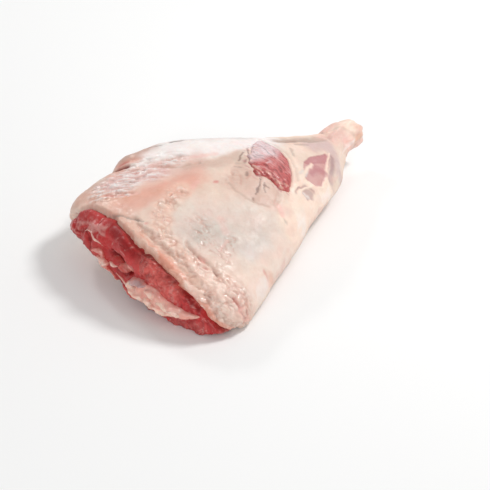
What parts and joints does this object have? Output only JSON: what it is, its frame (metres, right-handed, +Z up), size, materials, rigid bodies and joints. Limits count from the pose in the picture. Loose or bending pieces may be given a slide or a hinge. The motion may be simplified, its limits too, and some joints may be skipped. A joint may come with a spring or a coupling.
{
  "type": "raw leg of lamb",
  "caption": "Whole raw leg of lamb with a butcher's cut across the chump, a thin cover of fat and a trimmed shank, lying on its flat side.",
  "frame": {"origin": "on the surface the leg lies on, below the middle of its bounding box", "axes": "+X from the butcher's cut to the hock, +Y across the leg to its back edge, +Z up"},
  "size_m": [0.3638, 0.2548, 0.0837],
  "materials": {
    "meat": "moist, pale pink fat cover over red muscle"
  },
  "bodies": {
    "root": {"leg_of_lamb": "meat"}
  },
  "joints": []
}
